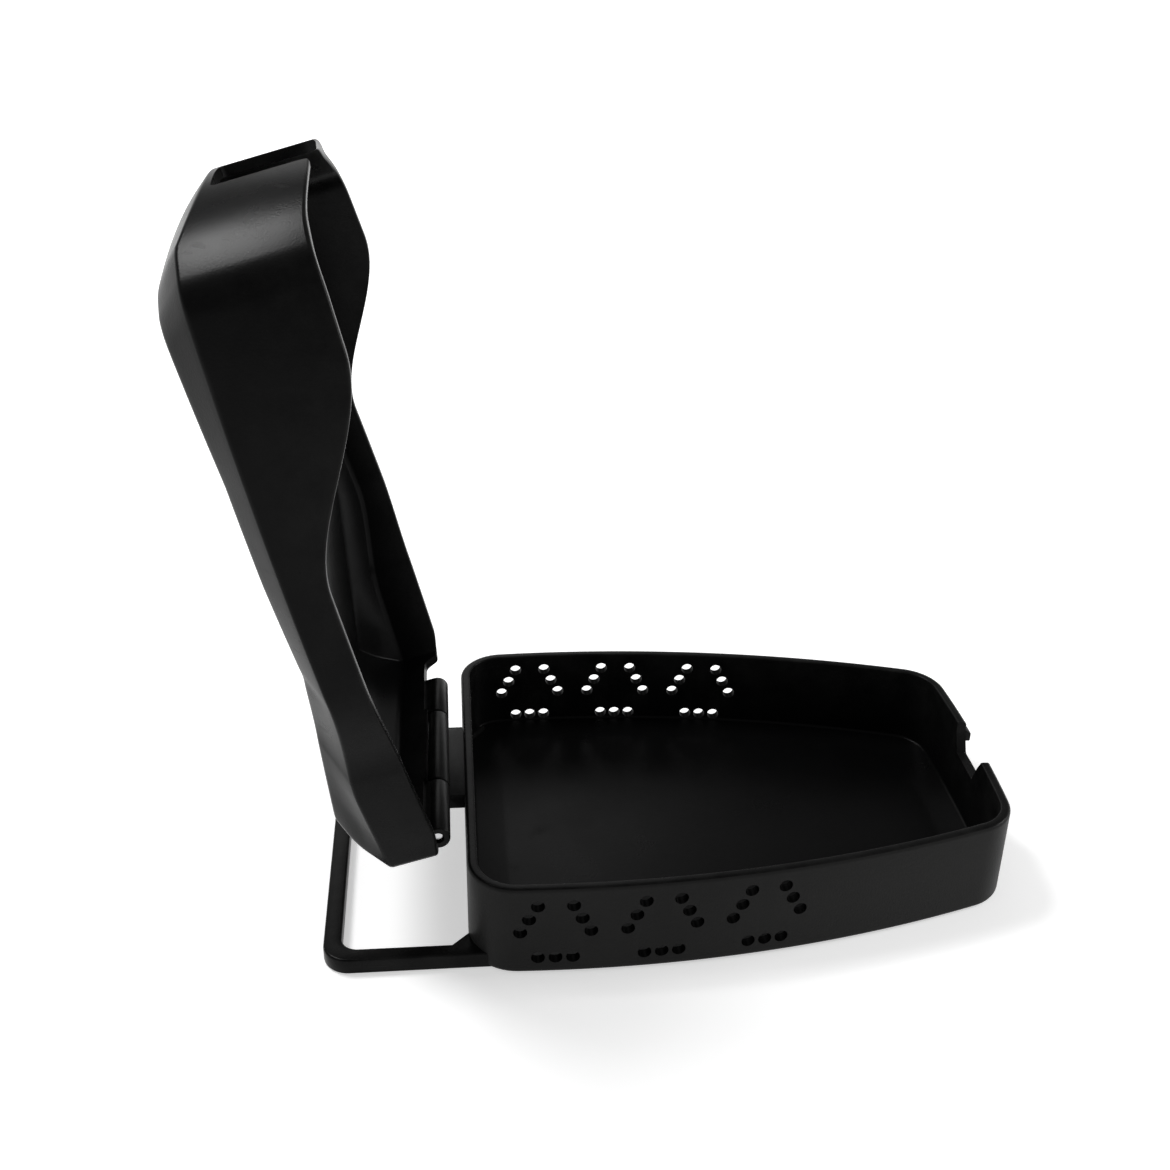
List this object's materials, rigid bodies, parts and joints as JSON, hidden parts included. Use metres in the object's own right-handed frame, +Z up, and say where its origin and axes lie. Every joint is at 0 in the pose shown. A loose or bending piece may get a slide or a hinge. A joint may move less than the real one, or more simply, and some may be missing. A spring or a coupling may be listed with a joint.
{
  "type": "mouthguard case",
  "caption": "Hinged hard case for a mouthguard: vented bowed tray with a carry loop, and a faceted lid with deep S-curved sides, held by a pinned barrel hinge.",
  "frame": {"origin": "centre of the tray's flat underside", "axes": "+X from the hinge to the nose of the tray, +Z up, +Y across the tray; the hinge axis runs along Y"},
  "size_m": [0.1409, 0.0798, 0.1285],
  "materials": {
    "black_plastic": "satin moulded, with a fine grain",
    "pin_steel": "drawn bright"
  },
  "bodies": {
    "tray": {"tray": "black_plastic", "hinge_pin": "pin_steel"},
    "lid": {"lid": "black_plastic"}
  },
  "joints": [
    {"name": "lid_hinge", "type": "hinge", "parent": "tray", "child": "lid", "pos_m": [-0.0537, 0, 0.01945], "axis": [0, -1, 0], "range_deg": [-106, 0]}
  ]
}
